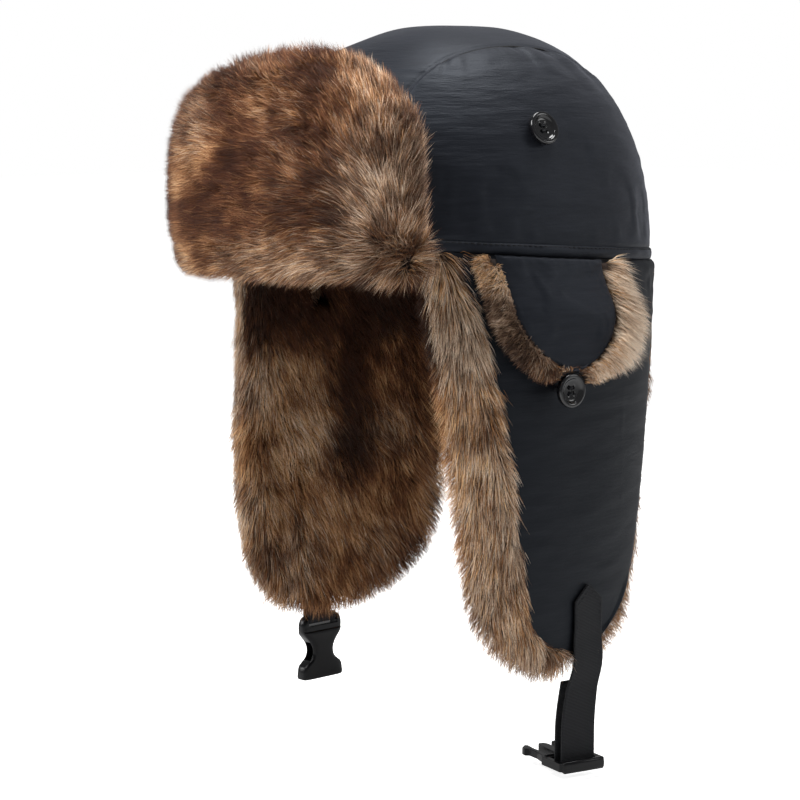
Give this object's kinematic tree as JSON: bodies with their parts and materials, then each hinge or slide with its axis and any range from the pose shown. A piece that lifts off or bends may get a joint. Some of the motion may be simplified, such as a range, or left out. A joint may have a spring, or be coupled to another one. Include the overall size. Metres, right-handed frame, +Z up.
{
  "type": "trapper hat",
  "caption": "Padded winter hat with a raised fur front flap, fur-lined ear and neck flaps, button-down ear covers and a buckled chin strap.",
  "frame": {"origin": "centre of the head opening, in the plane of the crown's bottom seam", "axes": "+Z up through the crown; the hat faces -Y; +X is the wearer's left"},
  "size_m": [0.2256, 0.2554, 0.3746],
  "materials": {
    "nylon": "satin crinkled charcoal-black nylon",
    "lining": "matt dark polyester lining",
    "wadding": "off-white polyester wadding",
    "fur": "long brown faux fur with tan and grey tips",
    "plastic": "glossy black moulded plastic",
    "webbing": "black woven polyester webbing",
    "thread": "black sewing thread"
  },
  "bodies": {
    "crown": {"crown_centre_panel": "nylon", "crown_side_panel_left": "nylon", "crown_side_panel_right": "nylon", "crown_band": "nylon", "crown_padding": "wadding", "crown_lining": "lining", "sweatband": "lining", "crown_button_left": "plastic", "crown_button_left_thread": "thread", "crown_button_right": "plastic", "crown_button_right_thread": "thread"},
    "front_flap": {"front_flap_shell": "nylon", "front_flap_interlining": "wadding", "front_flap_fur": "fur"},
    "neck_flap": {"neck_flap_shell": "nylon", "neck_flap_wadding": "wadding", "neck_flap_fur": "fur"},
    "left_ear_flap": {"ear_flap_shell_left": "nylon", "ear_flap_wadding_left": "wadding", "ear_flap_fur_left": "fur", "strap_anchor_left": "webbing", "ear_flap_button_left": "plastic", "ear_flap_button_left_thread": "thread"},
    "right_ear_flap": {"ear_flap_shell_right": "nylon", "ear_flap_wadding_right": "wadding", "ear_flap_fur_right": "fur", "strap_anchor_right": "webbing", "ear_flap_button_right": "plastic", "ear_flap_button_right_thread": "thread"},
    "left_ear_cover": {"ear_cover_shell_left": "nylon", "ear_cover_fur_left": "fur"},
    "right_ear_cover": {"ear_cover_shell_right": "nylon", "ear_cover_fur_right": "fur"},
    "left_strap": {"strap_left": "webbing"},
    "plug": {"buckle_plug_body": "plastic"},
    "plug_arm_front": {"buckle_arm_front": "plastic"},
    "plug_arm_rear": {"buckle_arm_rear": "plastic"},
    "right_strap": {"strap_right": "webbing"},
    "socket": {"buckle_socket": "plastic"}
  },
  "joints": [
    {"name": "front_flap_fold", "type": "hinge", "parent": "crown", "child": "front_flap", "pos_m": [0, -0.122, -0.002], "axis": [1, 0, 0], "range_deg": [0, 110]},
    {"name": "neck_flap_fold", "type": "hinge", "parent": "crown", "child": "neck_flap", "pos_m": [0, 0.121, -0.008], "axis": [-1, 0, 0], "range_deg": [-150, 0]},
    {"name": "left_ear_flap_fold", "type": "hinge", "parent": "crown", "child": "left_ear_flap", "pos_m": [0.102, 0, 0], "axis": [0, 1, 0], "range_deg": [-150, 0]},
    {"name": "right_ear_flap_fold", "type": "hinge", "parent": "crown", "child": "right_ear_flap", "pos_m": [-0.102, 0, 0], "axis": [0, -1, 0], "range_deg": [-150, 0]},
    {"name": "left_ear_cover_open", "type": "hinge", "parent": "left_ear_flap", "child": "left_ear_cover", "pos_m": [0.103, 0, 0], "axis": [0, -1, 0], "range_deg": [0, 165]},
    {"name": "right_ear_cover_open", "type": "hinge", "parent": "right_ear_flap", "child": "right_ear_cover", "pos_m": [-0.103, 0, 0], "axis": [0, 1, 0], "range_deg": [0, 165]},
    {"name": "left_strap_swing", "type": "hinge", "parent": "left_ear_flap", "child": "left_strap", "pos_m": [0.1001, 0, -0.202], "axis": [-0.225, -0.9744, 0], "range_deg": [-10, 60]},
    {"name": "plug_pivot", "type": "hinge", "parent": "left_strap", "child": "plug", "pos_m": [0.09723, 0.00066, -0.256], "axis": [0.225, 0.9744, 0], "range_deg": [-25, 25]},
    {"name": "plug_arm_front_squeeze", "type": "hinge", "parent": "plug", "child": "plug_arm_front", "pos_m": [0.08389, -0.00642, -0.256], "axis": [0, 0, -1], "range_deg": [0, 8]},
    {"name": "plug_arm_rear_squeeze", "type": "hinge", "parent": "plug", "child": "plug_arm_rear", "pos_m": [0.08835, 0.01287, -0.256], "axis": [0, 0, 1], "range_deg": [0, 8]},
    {"name": "right_strap_swing", "type": "hinge", "parent": "right_ear_flap", "child": "right_strap", "pos_m": [-0.1001, 0, -0.202], "axis": [0, 1, 0], "range_deg": [-10, 60]},
    {"name": "socket_pivot", "type": "hinge", "parent": "right_strap", "child": "socket", "pos_m": [-0.09775, 0, -0.213], "axis": [0, 1, 0], "range_deg": [-60, 60]}
  ]
}
